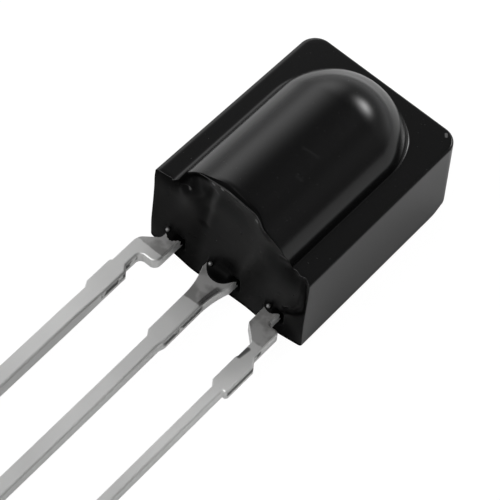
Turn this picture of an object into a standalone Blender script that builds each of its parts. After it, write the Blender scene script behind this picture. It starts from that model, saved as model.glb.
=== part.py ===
"""Infrared receiver module: a dark resin package with a bullet-shaped lens on three stamped leads.

Metres. +X runs across the package, +Y from the leads to the top of the package and +Z out through
the lens. The origin is on the flat back, under the middle of the lens dome. The module lies on its
back, and its leads lean back towards the same surface.
"""
import math

import bmesh
import bpy
import numpy as np
from mathutils import Vector

MM = 0.001

# Package
BODY_WIDTH = 6.16 * MM  # at the lead end
BODY_LENGTH = 7.45 * MM
BODY_DEPTH = 3.61 * MM  # from the back to the flat front
SIDE_DRAFT = math.radians(0.66)
BACK_TOP_RADIUS = 0.16 * MM
TOP_CORNER_RADIUS = 0.42 * MM
LONG_EDGE_RADIUS = 0.14 * MM
LENS_RADIUS = 2.35 * MM
LENS_RISE = 1.83 * MM  # above the flat front
LENS_FILLET = 0.08 * MM
LENS_TOP_MARGIN = 0.31 * MM  # flat front left above the dome
BEVEL_STEPS = 4
LENS_ARC_STEPS = 14
DOME_STEPS = 26
FILLET_STEPS = 3

# Poured end of the package, where the resin set in the open
RESIN_DISH = 0.07 * MM  # how deep the middle sags
RESIN_CLIMBS = (0.22 * MM, 0.42 * MM, 0.18 * MM)  # up the front of each lead, from left to right
RESIN_CLIMB_SPREAD = 0.24 * MM
RIM_SWELLING = 0.20 * MM  # at the right shoulder of the lens
RIM_SWELLING_SPREAD = 0.38 * MM
RIM_SWELLING_TURN = math.radians(37)  # round the lens from its crest
RIM_HOLLOW = 0.32 * MM  # at the left foot of the lens
RIM_HOLLOW_SPREAD = 0.30 * MM
RIM_HOLLOW_TURN = math.radians(-65)
FOOT_HOLLOW = 0.17 * MM  # at the right foot of the lens
FOOT_HOLLOW_SPREAD = 0.36 * MM
CORNER_HOLLOW = 0.16 * MM  # at the back corner on the right
CORNER_HOLLOW_SPREAD = 0.50 * MM
BACK_SWELLING = 0.09 * MM  # at the back edge, between the left lead and the middle one
BACK_SWELLING_SPREAD = 0.40 * MM
RESIN_STEPS_ACROSS = 54
RESIN_STEPS_DEEP = 48

# Lead frame, all stamped from one strip
SHEET = 0.47 * MM
WALL_BEHIND_LEADS = 0.575 * MM
LEAD_LENGTH = 22.5 * MM  # outside the package
LEAD_PITCH = 2.56 * MM
LEAD_WIDTH = 0.46 * MM
OUTPUT_WIDTH = 0.52 * MM
SUPPLY_WIDTH = 0.36 * MM
TIP_CHAMFER = 0.08 * MM
TIP_HEIGHT = 0.25 * MM  # of the tips' undersides above the surface that the back lies on
STAMPED_EDGE = 0.05 * MM
FRAME_OFFSET = -0.08 * MM  # the strip sat a little to one side in the mould
FRAME_SWING = math.radians(0.40)  # and a little askew, tips to the right
EXIT_PITCH = 2.00 * MM  # between leads where they leave the resin
EXIT_WIDTH = 0.52 * MM
GROUND_EXIT_WIDTH = 1.13 * MM
GROUND_EXIT_OFFSET = -0.055 * MM

# Stand-off left on each lead where its tie bar was cut off
NECK_RUN = 0.71 * MM  # from the end of the right lead's jog
STUB_LENGTH = 1.05 * MM
STUB_SLOPE = 0.20 * MM
OUTER_LEDGE = 0.12 * MM
GROUND_LEDGE = 0.12 * MM
GROUND_INNER_LEDGE = 0.04 * MM
SUPPLY_LEDGE = 0.15 * MM
NECK_STEP = 0.07 * MM
SUPPLY_NECK_STEP = 0.21 * MM
SUPPLY_NECK_WIDTH = 0.40 * MM

# Jogs of the two outer leads, as distances from the lead end
OUTPUT_JOG_START = 0.33 * MM
OUTPUT_JOG_SLOPE = 0.47 * MM
OUTPUT_JOG_FOOT = 1.19 * MM
SUPPLY_JOG_START = 0.49 * MM
SUPPLY_JOG_FOOT = 0.85 * MM
SUPPLY_JOG_SLOPE = 0.49 * MM
JOG_CORNER = 0.18 * MM
SMALL_CORNER = 0.07 * MM
GROUND_FLARE = 1.15 * MM
GROUND_FLARE_START = 0.28 * MM

# Inside the resin, as distances from the lead end
FINGER_NECK = 1.20 * MM
FINGER_BEYOND_BOND = 0.28 * MM
FINGER_SIDE = 0.10 * MM  # wider than the lead on the outer side
FRAME_CUT = 0.33 * MM  # what the stamping leaves open between a finger and the land
GROUND_ROOT = 0.55 * MM
CHIP_LAND_START = 1.30 * MM
GROUND_BOND_RUN = 0.18 * MM  # from the start of the land
CHIP_LAND_MARGIN = 0.65 * MM  # land beside the receiver chip
DIODE_LAND_MARGIN = 0.37 * MM  # land above and below the photodiode
DIODE_LAND_SIDE = 0.70 * MM  # land beside the photodiode
DIODE_LAND_SLOPE = 0.30 * MM
DIODE_SIDE = 1.60 * MM
DIODE_THICKNESS = 0.28 * MM
CHIP_WIDTH = 1.00 * MM
CHIP_LENGTH = 1.10 * MM
CHIP_THICKNESS = 0.25 * MM
WIRE_RADIUS = 0.016 * MM
WIRE_LOOP = 0.36 * MM
WIRE_STEPS = 10
BOND_INSET = 0.12 * MM  # from a chip's edge to the bond on it

# Clearances
SEAT = 0.010 * MM  # between pieces that lie on each other
RESIN_GAP = 0.030 * MM  # between the resin and what it holds

# Worked out from the sizes above
LENS_SINK = LENS_RADIUS - LENS_RISE  # how far the middle of the lens lies behind the flat front
LENS_FOOT = math.sqrt((LENS_RADIUS + LENS_FILLET) ** 2 - (LENS_FILLET + LENS_SINK) ** 2)
LENS_HEIGHT = BODY_LENGTH - LENS_TOP_MARGIN - LENS_FOOT
LEAD_END = -LENS_HEIGHT
LEAN = math.asin((WALL_BEHIND_LEADS - TIP_HEIGHT) / LEAD_LENGTH)
LEAD_FRONT = WALL_BEHIND_LEADS + SHEET
STUB_TOP = SUPPLY_JOG_FOOT + SUPPLY_JOG_SLOPE + NECK_RUN
STUB_FOOT = STUB_TOP + STUB_LENGTH
POUR_ALLOWANCE = max(RESIN_CLIMBS) + RIM_SWELLING
WIDEST_EDGE = max(BACK_TOP_RADIUS, TOP_CORNER_RADIUS, LONG_EDGE_RADIUS)
CHIP_LAND_HALF = CHIP_WIDTH / 2 + CHIP_LAND_MARGIN
DIODE_START = LENS_HEIGHT - DIODE_SIDE / 2
DIODE_LAND_START = DIODE_START - DIODE_LAND_MARGIN - DIODE_LAND_SLOPE
FINGER_TOP = DIODE_LAND_START - FRAME_CUT
FINGER_BOND = FINGER_TOP - FINGER_BEYOND_BOND
GROUND_BOND = CHIP_LAND_START + GROUND_BOND_RUN
CHIP_CENTRE = (GROUND_BOND + DIODE_START) / 2


def half_width(y):
    """Half the package's width at a distance y along it, narrowed by the mould's draft."""
    return BODY_WIDTH / 2 - math.tan(SIDE_DRAFT) * (y - LEAD_END)


def rounded(corners, steps=4):
    """The points of a closed outline, with an arc of its own radius at each corner (x, y, radius)."""
    points = []
    for index, (x, y, radius) in enumerate(corners):
        corner = np.array((x, y))
        if radius == 0:
            points.append(corner)
            continue
        to_last = np.array(corners[index - 1][:2]) - corner
        to_next = np.array(corners[(index + 1) % len(corners)][:2]) - corner
        to_last /= np.linalg.norm(to_last)
        to_next /= np.linalg.norm(to_next)
        half_angle = math.acos(float(to_last @ to_next)) / 2
        middle = (to_last + to_next) / np.linalg.norm(to_last + to_next)
        centre = corner + middle * radius / math.sin(half_angle)
        first = corner + to_last * radius / math.tan(half_angle) - centre
        last = corner + to_next * radius / math.tan(half_angle) - centre
        start = math.atan2(first[1], first[0])
        turn = math.remainder(math.atan2(last[1], last[0]) - start, math.tau)
        for angle in np.linspace(start, start + turn, steps + 1):
            points.append(centre + radius * np.array((math.cos(angle), math.sin(angle))))
    return np.array(points)


def grown(points, distance):
    """The same closed outline, counterclockwise, with each side moved outwards."""
    side = np.roll(points, -1, axis=0) - points
    normal = np.column_stack((side[:, 1], -side[:, 0])) / np.linalg.norm(side, axis=1)[:, None]
    before = np.roll(normal, 1, axis=0)
    mitre = (normal + before) / (1 + (normal * before).sum(axis=1))[:, None]
    return points + distance * mitre


def material(name, colour, roughness, metallic=0.0):
    """A plain shiny or dull surface of one colour."""
    made = bpy.data.materials.new(name)
    made.use_nodes = True
    shader = made.node_tree.nodes["Principled BSDF"]
    shader.inputs["Base Color"].default_value = (*colour, 1.0)
    shader.inputs["Roughness"].default_value = roughness
    shader.inputs["Metallic"].default_value = metallic
    return made


def put(name, mesh, collection, carrier=None):
    """An object with this mesh, carried by another object where one is given."""
    made = bpy.data.objects.new(name, mesh)
    made.parent = carrier
    collection.objects.link(made)
    return made


def as_cutter(made):
    """Marks an object as a tool of the model and not a piece of it."""
    made.hide_render = True
    made.display_type = "WIRE"
    return made


def mesh_of_curve(curve, collection, weld):
    """The closed mesh of a filled curve, with its caps joined and flat faces whole."""
    drawn = bpy.data.objects.new(curve.name, curve)
    collection.objects.link(drawn)
    mesh = bpy.data.meshes.new_from_object(drawn.evaluated_get(bpy.context.evaluated_depsgraph_get()))
    bpy.data.objects.remove(drawn)
    shape = bmesh.new()
    shape.from_mesh(mesh)
    bmesh.ops.remove_doubles(shape, verts=shape.verts, dist=weld)
    bmesh.ops.dissolve_limit(shape, angle_limit=math.radians(0.5), verts=shape.verts, edges=shape.edges)
    bmesh.ops.recalc_face_normals(shape, faces=shape.faces)
    shape.to_mesh(mesh)
    shape.free()
    return mesh


def sheet(name, points, thickness, collection):
    """Flat stock cut to a closed outline, in its own XY plane with its middle at z = 0."""
    curve = bpy.data.curves.new(name, "CURVE")
    curve.dimensions = "2D"
    curve.fill_mode = "BOTH"
    curve.extrude = thickness / 2
    spline = curve.splines.new("POLY")
    spline.points.add(len(points) - 1)
    for point, (x, y) in zip(spline.points, points):
        point.co = (x, y, 0, 1)
    spline.use_cyclic_u = True
    return mesh_of_curve(curve, collection, SEAT / 20)


def wire(name, path, radius, collection):
    """Round wire along a path."""
    curve = bpy.data.curves.new(name, "CURVE")
    curve.dimensions = "3D"
    curve.bevel_depth = radius
    curve.bevel_resolution = 1
    curve.use_fill_caps = True
    spline = curve.splines.new("POLY")
    spline.points.add(len(path) - 1)
    for point, place in zip(spline.points, path):
        point.co = (*place, 1)
    return mesh_of_curve(curve, collection, SEAT / 20)


def block(name, width, length, height):
    """A rectangular chip, centred on its own origin."""
    shape = bmesh.new()
    bmesh.ops.create_cube(shape, size=1.0)
    bmesh.ops.scale(shape, vec=(width, length, height), verts=shape.verts)
    mesh = bpy.data.meshes.new(name)
    shape.to_mesh(mesh)
    shape.free()
    return mesh


def boolean(made, other, operation):
    """Joins or cuts an object with another."""
    change = made.modifiers.new(other.name, "BOOLEAN")
    change.operation = operation
    change.solver = "EXACT"
    change.object = other


def lens_profile():
    """Half of the lens section, as (distance from its middle, height above the flat front)."""
    meeting = math.atan2(LENS_FILLET + LENS_SINK, LENS_FOOT)
    points = []
    for angle in np.linspace(math.pi / 2, meeting, LENS_ARC_STEPS + 1):
        points.append((LENS_RADIUS * math.cos(angle), LENS_RADIUS * math.sin(angle) - LENS_SINK))
    for angle in np.linspace(math.pi + meeting, 1.5 * math.pi, FILLET_STEPS + 1)[1:]:
        across = LENS_FOOT + LENS_FILLET * math.cos(angle)
        points.append((across, LENS_FILLET + LENS_FILLET * math.sin(angle)))
    points[0] = (0.0, LENS_RISE)
    return points


def lens_mesh():
    """The lens: its section turned half round for the dome, then drawn on past the lead end."""
    root = BODY_DEPTH / 3
    shape = bmesh.new()
    section = lens_profile()
    section.append((section[-1][0], -root))
    section.append((0.0, -root))
    rim = [shape.verts.new((across, 0.0, BODY_DEPTH + up)) for across, up in section]
    ring = [shape.edges.new(pair) for pair in zip(rim, rim[1:])]
    bmesh.ops.spin(shape, geom=rim + ring, cent=(0, 0, 0), axis=(0, 0, 1), angle=math.pi, steps=DOME_STEPS)
    bmesh.ops.remove_doubles(shape, verts=shape.verts, dist=SEAT / 20)
    open_edges = [edge for edge in shape.edges if edge.is_boundary]
    drawn = bmesh.ops.extrude_edge_only(shape, edges=open_edges)["geom"]
    drawn_points = [item for item in drawn if isinstance(item, bmesh.types.BMVert)]
    bmesh.ops.translate(shape, vec=(0, LEAD_END - POUR_ALLOWANCE, 0), verts=drawn_points)
    bmesh.ops.holes_fill(shape, edges=[edge for edge in shape.edges if edge.is_boundary])
    bmesh.ops.recalc_face_normals(shape, faces=shape.faces)
    mesh = bpy.data.meshes.new("lens_form")
    shape.to_mesh(mesh)
    shape.free()
    return mesh


def package_block():
    """The box of the package, with the draft of the mould, before its edges are rounded."""
    shape = bmesh.new()
    bmesh.ops.create_cube(shape, size=2.0)
    start = LEAD_END - POUR_ALLOWANCE
    top = LEAD_END + BODY_LENGTH
    for vert in shape.verts:
        y = top if vert.co.y > 0 else start
        z = BODY_DEPTH if vert.co.z > 0 else 0.0
        vert.co = (math.copysign(half_width(y), vert.co.x), y, z)
    weight = shape.edges.layers.float.new("bevel_weight_edge")
    for edge in shape.edges:
        ends = [vert.co for vert in edge.verts]
        along = ends[1] - ends[0]
        at_top = min(end.y for end in ends) > 0
        at_back = max(end.z for end in ends) < BODY_DEPTH / 2
        if abs(along.z) > BODY_DEPTH / 2:
            radius = TOP_CORNER_RADIUS if at_top else 0.0
        elif at_top and at_back:
            radius = BACK_TOP_RADIUS
        elif at_top or abs(along.y) > BODY_LENGTH / 2:
            radius = LONG_EDGE_RADIUS
        else:
            radius = 0.0
        edge[weight] = radius / WIDEST_EDGE
    mesh = bpy.data.meshes.new("epoxy_body")
    shape.to_mesh(mesh)
    shape.free()
    return mesh


def swell(x, z, place, spread, rise):
    """A round swelling, or a hollow where the rise is negative, at a place on the poured end."""
    away = (x - place[0]) ** 2 + (z - place[1]) ** 2
    return rise * math.exp(-away / (2 * spread ** 2))


def on_lens_edge(turn):
    """The place on the lens's section at an angle round from its crest."""
    return (LENS_RADIUS * math.sin(turn), BODY_DEPTH - LENS_SINK + LENS_RADIUS * math.cos(turn))


def resin_height(x, z):
    """How far the poured end stands out past the lead end, at a place on it."""
    across = x / (BODY_WIDTH / 2)
    deep = 2 * z / BODY_DEPTH - 1
    height = -RESIN_DISH * max(1 - across ** 2, 0) * max(1 - deep ** 2, 0)
    height += swell(x, z, on_lens_edge(RIM_SWELLING_TURN), RIM_SWELLING_SPREAD, RIM_SWELLING)
    height += swell(x, z, on_lens_edge(RIM_HOLLOW_TURN), RIM_HOLLOW_SPREAD, -RIM_HOLLOW)
    height += swell(x, z, (LENS_FOOT, BODY_DEPTH), FOOT_HOLLOW_SPREAD, -FOOT_HOLLOW)
    height += swell(x, z, (BODY_WIDTH / 2, 0), CORNER_HOLLOW_SPREAD, -CORNER_HOLLOW)
    height += swell(x, z, (-EXIT_PITCH / 2, 0), BACK_SWELLING_SPREAD, BACK_SWELLING)
    exits = ((-EXIT_PITCH, EXIT_WIDTH), (GROUND_EXIT_OFFSET, GROUND_EXIT_WIDTH), (EXIT_PITCH, EXIT_WIDTH))
    for (place, width), climb in zip(exits, RESIN_CLIMBS):
        beside = max(abs(x - FRAME_OFFSET - place) - width / 4, 0)
        height += swell(beside, z, (0, LEAD_FRONT), RESIN_CLIMB_SPREAD, climb)
    return height


def poured_surface():
    """A cutter that leaves the uneven poured end: a waved sheet, drawn out away from the package."""
    reach = BODY_WIDTH / 2 + LENS_FILLET
    low = -LENS_FILLET
    high = BODY_DEPTH + LENS_RISE + LENS_FILLET
    shape = bmesh.new()
    bmesh.ops.create_grid(shape, x_segments=RESIN_STEPS_ACROSS, y_segments=RESIN_STEPS_DEEP, size=1.0)
    for vert in shape.verts:
        x = vert.co.x * reach
        z = low + (vert.co.y + 1) / 2 * (high - low)
        vert.co = (x, LEAD_END - resin_height(x, z), z)
    drawn = bmesh.ops.extrude_face_region(shape, geom=shape.faces[:])["geom"]
    for item in drawn:
        if isinstance(item, bmesh.types.BMVert):
            item.co.y = LEAD_END - 2 * POUR_ALLOWANCE
    bmesh.ops.recalc_face_normals(shape, faces=shape.faces)
    mesh = bpy.data.meshes.new("poured_surface")
    shape.to_mesh(mesh)
    shape.free()
    return mesh


def finger(exit_low, exit_high, head_low, head_high):
    """The part of an outer lead inside the resin, from its exit on the right round to the left."""
    return [
        (exit_high, FINGER_NECK, SMALL_CORNER),
        (head_high, FINGER_NECK + abs(head_high - exit_high), SMALL_CORNER),
        (head_high, FINGER_TOP, JOG_CORNER),
        (head_low, FINGER_TOP, JOG_CORNER),
        (head_low, FINGER_NECK + abs(exit_low - head_low), SMALL_CORNER),
        (exit_low, FINGER_NECK, SMALL_CORNER),
    ]


def tip(low, high):
    """The cut end of a lead, from its left side to its right."""
    end = -LEAD_LENGTH
    return [
        (low, end + TIP_CHAMFER, 0),
        (low + TIP_CHAMFER, end, 0),
        (high - TIP_CHAMFER, end, 0),
        (high, end + TIP_CHAMFER, 0),
    ]


def output_outline():
    """The left lead: straight up to its stand-off, then stepping in towards the middle."""
    low = -LEAD_PITCH - LEAD_WIDTH / 2
    high = low + OUTPUT_WIDTH
    stub = low - OUTER_LEDGE
    neck_low = stub + NECK_STEP
    neck_high = neck_low + LEAD_WIDTH
    exit_low = -EXIT_PITCH - EXIT_WIDTH / 2
    exit_high = exit_low + EXIT_WIDTH
    corners = tip(low, high)
    corners += [
        (high, -STUB_TOP, 0),
        (neck_high, -STUB_TOP + STUB_SLOPE, 0),
        (neck_high, -OUTPUT_JOG_FOOT, SMALL_CORNER),
        (exit_high, -OUTPUT_JOG_FOOT, JOG_CORNER),
    ]
    corners += finger(exit_low, exit_high, exit_low - FINGER_SIDE, -CHIP_LAND_HALF - FRAME_CUT)
    corners += [
        (exit_low, -OUTPUT_JOG_START, SMALL_CORNER),
        (neck_low, -OUTPUT_JOG_START - OUTPUT_JOG_SLOPE, JOG_CORNER),
        (neck_low, -STUB_TOP + NECK_STEP, 0),
        (stub, -STUB_TOP, 0),
        (stub, -STUB_FOOT, 0),
        (low, -STUB_FOOT - STUB_SLOPE, 0),
    ]
    return rounded(corners)


def supply_outline():
    """The right lead: narrow below its stand-off, then stepping in towards the middle."""
    low = LEAD_PITCH - SUPPLY_WIDTH / 2
    high = low + SUPPLY_WIDTH
    stub_low = low - SUPPLY_LEDGE
    stub_high = high + SUPPLY_LEDGE
    neck_high = stub_high - SUPPLY_NECK_STEP
    neck_low = neck_high - SUPPLY_NECK_WIDTH
    exit_low = EXIT_PITCH - EXIT_WIDTH / 2
    exit_high = exit_low + EXIT_WIDTH
    corners = tip(low, high)
    corners += [
        (high, -STUB_FOOT - STUB_SLOPE / 2, 0),
        (stub_high, -STUB_FOOT - STUB_SLOPE / 2, SMALL_CORNER),
        (stub_high, -STUB_TOP + STUB_SLOPE / 2, SMALL_CORNER),
        (neck_high, -STUB_TOP + SUPPLY_NECK_STEP + STUB_SLOPE, SMALL_CORNER),
        (neck_high, -SUPPLY_JOG_START, SMALL_CORNER),
        (exit_high, -SUPPLY_JOG_START, SMALL_CORNER),
    ]
    corners += finger(exit_low, exit_high, CHIP_LAND_HALF + FRAME_CUT, exit_high + FINGER_SIDE)
    corners += [
        (exit_low, -SUPPLY_JOG_FOOT, SMALL_CORNER),
        (neck_low, -SUPPLY_JOG_FOOT - SUPPLY_JOG_SLOPE, JOG_CORNER),
        (neck_low, -STUB_TOP + STUB_SLOPE / 2, 0),
        (stub_low, -STUB_TOP, 0),
        (stub_low, -STUB_FOOT, 0),
        (low, -STUB_FOOT - STUB_SLOPE, 0),
    ]
    return rounded(corners)


def flare(narrow, wide, steps=5):
    """One side of the middle lead's smooth widening up to its exit, as (x, y, 0)."""
    points = []
    for share in np.linspace(0, 1, steps + 1):
        drop = GROUND_FLARE_START + GROUND_FLARE * (1 - share)
        points.append((narrow + (wide - narrow) * share ** 2, -drop, 0))
    return points


def ground_outline():
    """The middle lead: it widens into the exit and carries both chips on its land inside."""
    low = -LEAD_WIDTH / 2
    high = LEAD_WIDTH / 2
    stub_low = low - GROUND_LEDGE
    stub_high = high + GROUND_INNER_LEDGE
    exit_low = GROUND_EXIT_OFFSET - GROUND_EXIT_WIDTH / 2
    exit_high = exit_low + GROUND_EXIT_WIDTH
    chip_half = CHIP_LAND_HALF
    diode_half = DIODE_SIDE / 2 + DIODE_LAND_SIDE
    diode_top = LENS_HEIGHT + DIODE_SIDE / 2 + DIODE_LAND_MARGIN
    diode_start = DIODE_LAND_START + DIODE_LAND_SLOPE
    corners = tip(low, high)
    corners += [
        (high, -STUB_FOOT - STUB_SLOPE, 0),
        (stub_high, -STUB_FOOT, 0),
    ]
    corners += flare(stub_high, exit_high)
    corners += [
        (exit_high, GROUND_ROOT, SMALL_CORNER),
        (chip_half, CHIP_LAND_START, SMALL_CORNER),
        (chip_half, DIODE_LAND_START, SMALL_CORNER),
        (diode_half, diode_start, SMALL_CORNER),
        (diode_half, diode_top, JOG_CORNER),
        (-diode_half, diode_top, JOG_CORNER),
        (-diode_half, diode_start, SMALL_CORNER),
        (-chip_half, DIODE_LAND_START, SMALL_CORNER),
        (-chip_half, CHIP_LAND_START, SMALL_CORNER),
        (exit_low, GROUND_ROOT, SMALL_CORNER),
    ]
    corners += reversed(flare(stub_low, exit_low))
    corners += [
        (stub_low, -STUB_FOOT, 0),
        (low, -STUB_FOOT - STUB_SLOPE, 0),
    ]
    return rounded(corners)


def bond_path(start, finish):
    """A bond wire's loop: it leaves the first pad straight up and comes straight down on the last."""
    start = np.array(start)
    finish = np.array(finish)
    turn = np.linspace(0, math.pi, WIRE_STEPS + 1)[:, None]
    return start + (finish - start) * (1 - np.cos(turn)) / 2 + np.array((0, 0, WIRE_LOOP)) * np.sin(turn)


def bond_paths():
    """Where each bond wire runs, between the middles of its two bonds."""
    on_lead = SHEET / 2 + SEAT
    on_chip = on_lead + CHIP_THICKNESS + SEAT
    on_diode = on_lead + DIODE_THICKNESS + SEAT
    chip_side = CHIP_WIDTH / 2 - BOND_INSET
    chip_end = CHIP_LENGTH / 2 - BOND_INSET
    finger_bond = CHIP_LAND_HALF + FRAME_CUT + 2 * BOND_INSET
    diode_bond = DIODE_START + BOND_INSET
    return {
        "bond_wire_output": ((-chip_side, CHIP_CENTRE, on_chip), (-finger_bond, FINGER_BOND, on_lead)),
        "bond_wire_supply": ((chip_side, CHIP_CENTRE, on_chip), (finger_bond, FINGER_BOND, on_lead)),
        "bond_wire_diode": ((0, CHIP_CENTRE + chip_end, on_chip), (0, diode_bond, on_diode)),
        "bond_wire_ground": ((0, CHIP_CENTRE - chip_end, on_chip), (0, GROUND_BOND, on_lead)),
    }


def carve(body, name, mesh, frame, cutters):
    """Makes room in the resin for a piece that it was poured around."""
    boolean(body, as_cutter(put(name + "_room", mesh, cutters, frame)), "DIFFERENCE")


def add_leads(body, frame, parts, cutters, surface):
    """The three leads, stamped from one sheet, and their slots in the resin."""
    outlines = {
        "lead_output": output_outline(),
        "lead_ground": ground_outline(),
        "lead_supply": supply_outline(),
    }
    for name, outline in outlines.items():
        lead = put(name, sheet(name, outline, SHEET, parts), parts, frame)
        lead.data.materials.append(surface)
        edges = lead.modifiers.new("stamped_edges", "BEVEL")
        edges.width = STAMPED_EDGE
        edges.segments = 2
        edges.limit_method = "ANGLE"
        edges.angle_limit = math.radians(60)
        room = sheet(name + "_room", grown(outline, RESIN_GAP), SHEET + 2 * RESIN_GAP, cutters)
        carve(body, name, room, frame, cutters)


def add_chip(name, size, along, body, frame, parts, cutters, surface):
    """A chip glued flat to the middle lead's land, at a distance along it."""
    width, length, thickness = size
    chip = put(name, block(name, *size), parts, frame)
    chip.location = (0, along, SHEET / 2 + SEAT + thickness / 2)
    chip.data.materials.append(surface)
    room = [side + 2 * RESIN_GAP for side in size]
    carve(body, name, block(name + "_room", *room), frame, cutters)
    cutters.objects[name + "_room"].location = chip.location


def add_wires(body, frame, parts, cutters, surface):
    """The bond wires between chips and leads."""
    for name, (start, finish) in bond_paths().items():
        path = bond_path(start, finish)
        bond = put(name, wire(name, path, WIRE_RADIUS, parts), parts, frame)
        bond.data.materials.append(surface)
        bond.data.shade_smooth()
        room = wire(name + "_room", path, WIRE_RADIUS + RESIN_GAP, cutters)
        carve(body, name, room, frame, cutters)


def add_body(parts, cutters, surface):
    """The cast package: a drafted block and the lens, cut off by the poured end."""
    body = put("epoxy_body", package_block(), parts)
    body.data.materials.append(surface)
    edges = body.modifiers.new("mould_edges", "BEVEL")
    edges.limit_method = "WEIGHT"
    edges.width = WIDEST_EDGE
    edges.segments = BEVEL_STEPS
    boolean(body, as_cutter(put("lens_form", lens_mesh(), cutters)), "UNION")
    boolean(body, as_cutter(put("poured_end", poured_surface(), cutters)), "DIFFERENCE")
    return body


def build():
    """The whole module."""
    for old in list(bpy.data.objects):
        bpy.data.objects.remove(old)
    scene = bpy.context.scene.collection
    parts = bpy.data.collections.new("infrared_receiver_module")
    cutters = bpy.data.collections.new("cutters")
    scene.children.link(parts)
    scene.children.link(cutters)
    resin = material("dark_resin", (0.012, 0.011, 0.012), 0.22)
    tinned = material("tinned_steel", (0.66, 0.66, 0.65), 0.3, metallic=1.0)
    silicon = material("silicon", (0.16, 0.15, 0.2), 0.2)
    gold = material("gold_wire", (0.83, 0.6, 0.2), 0.25, metallic=1.0)

    frame = put("lead_frame", None, parts)
    frame.location = (FRAME_OFFSET, LEAD_END, WALL_BEHIND_LEADS + SHEET / 2)
    frame.rotation_euler = (LEAN, 0, FRAME_SWING)
    body = add_body(parts, cutters, resin)
    add_leads(body, frame, parts, cutters, tinned)
    diode = (DIODE_SIDE, DIODE_SIDE, DIODE_THICKNESS)
    chip = (CHIP_WIDTH, CHIP_LENGTH, CHIP_THICKNESS)
    add_chip("photodiode_chip", diode, LENS_HEIGHT, body, frame, parts, cutters, silicon)
    add_chip("receiver_chip", chip, CHIP_CENTRE, body, frame, parts, cutters, silicon)
    add_wires(body, frame, parts, cutters, gold)
    bpy.context.view_layer.update()


build()
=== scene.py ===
"""Infrared receiver module: a dark resin package with a bullet-shaped lens on three stamped leads.

Metres. +X runs across the package, +Y from the leads to its top and +Z out through the lens. The
module lies on its back, and its leads lean back towards the floor.
"""
import math

import bmesh
import bpy
import numpy as np
from mathutils import Matrix, Vector


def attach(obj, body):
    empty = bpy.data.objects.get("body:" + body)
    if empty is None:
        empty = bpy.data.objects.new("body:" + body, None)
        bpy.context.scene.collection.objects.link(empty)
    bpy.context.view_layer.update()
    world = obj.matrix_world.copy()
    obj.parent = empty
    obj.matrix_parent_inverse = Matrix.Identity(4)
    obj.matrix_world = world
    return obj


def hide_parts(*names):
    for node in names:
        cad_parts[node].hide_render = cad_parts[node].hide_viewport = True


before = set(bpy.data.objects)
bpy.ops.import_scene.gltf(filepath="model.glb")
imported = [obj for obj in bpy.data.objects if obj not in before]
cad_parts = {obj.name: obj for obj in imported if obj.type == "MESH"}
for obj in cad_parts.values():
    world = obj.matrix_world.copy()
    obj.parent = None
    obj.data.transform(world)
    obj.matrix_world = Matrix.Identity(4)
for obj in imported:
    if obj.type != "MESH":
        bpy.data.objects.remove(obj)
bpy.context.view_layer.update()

# The lead frame. Three leads are stamped from one strip of steel, tinned, and held together by tie
# bars until the resin has set. Then the bars are cut off, which leaves a stand-off on each lead.
MM = 0.001
LEAD_END = -4.785239 * MM  # where the leads leave the package
SHEET = 0.47 * MM
WALL_BEHIND_LEADS = 0.575 * MM
LEAD_LENGTH = 22.5 * MM
LEAD_PITCH = 2.56 * MM
LEAD_WIDTH = 0.46 * MM
OUTPUT_WIDTH = 0.565 * MM
GROUND_WIDTH = 0.495 * MM
SUPPLY_WIDTH = 0.35 * MM
TIP_CHAMFER = 0.08 * MM
TIP_HEIGHT = 0.25 * MM
STAMPED_EDGE = 0.085 * MM  # the radius of an edge that faces right
LEFT_STAMPED_EDGE = 0.0255 * MM  # and of one that faces left
FLAT_START = 1.12  # the first ring of points on the flat, in edge radii
EDGE_STEPS = 6  # faces round a stamped edge, and between two edges
FLARE_STEPS = 13
OUTLINE_STEP = 0.22 * MM
BEAD_RADIUS = 0.075 * MM
FRAME_OFFSET = -0.08 * MM
FRAME_SWING = math.radians(0.40)
FRAME_LEAN = math.asin((WALL_BEHIND_LEADS - TIP_HEIGHT) / LEAD_LENGTH)
EXIT_PITCH = 2.00 * MM
EXIT_WIDTH = 0.52 * MM
GROUND_EXIT_WIDTH = 1.13 * MM
GROUND_EXIT_OFFSET = -0.055 * MM
STUB_TOP = 2.05 * MM
STUB_FOOT = 3.10 * MM
STUB_SLOPE = 0.20 * MM
OUTER_LEDGE = 0.12 * MM
GROUND_LEDGE = 0.13 * MM
GROUND_INNER_LEDGE = 0.065 * MM
SUPPLY_LEDGE = 0.15 * MM
NECK_STEP = 0.07 * MM
SUPPLY_NECK_STEP = 0.21 * MM
SUPPLY_NECK_WIDTH = 0.40 * MM
OUTPUT_JOG = 1.19 * MM  # the left lead's jog: a step on its right and a slope on its left
OUTPUT_SLOPE_TOP = 0.33 * MM
OUTPUT_SLOPE_FOOT = 0.80 * MM
OUTPUT_CORNER = 0.20 * MM
OUTPUT_STEP_CORNER = 0.24 * MM
OUTPUT_SLOPE_CORNER = 0.42 * MM
SUPPLY_JOG = 0.49 * MM  # the right lead's jog, which mirrors it higher up
SUPPLY_SLOPE_TOP = 0.85 * MM
SUPPLY_SLOPE_FOOT = 1.34 * MM
FLARE_TOP = 0.28 * MM
FLARE_RUN = 1.15 * MM
JOG_CORNER = 0.18 * MM
SMALL_CORNER = 0.12 * MM
FINGER_NECK = 1.20 * MM
FINGER_TOP = 2.985239 * MM
FINGER_LEDGE = 0.10 * MM
LAND_GAP = 0.33 * MM  # between the land and the fingers beside it
GROUND_EXIT_TOP = 0.55 * MM
CHIP_LAND_HALF = 1.15 * MM
CHIP_LAND_START = 1.30 * MM
DIODE_LAND_HALF = 1.50 * MM
DIODE_LAND_START = 3.315239 * MM
DIODE_LAND_FULL = 3.615239 * MM
DIODE_LAND_TOP = 5.955239 * MM
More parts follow.
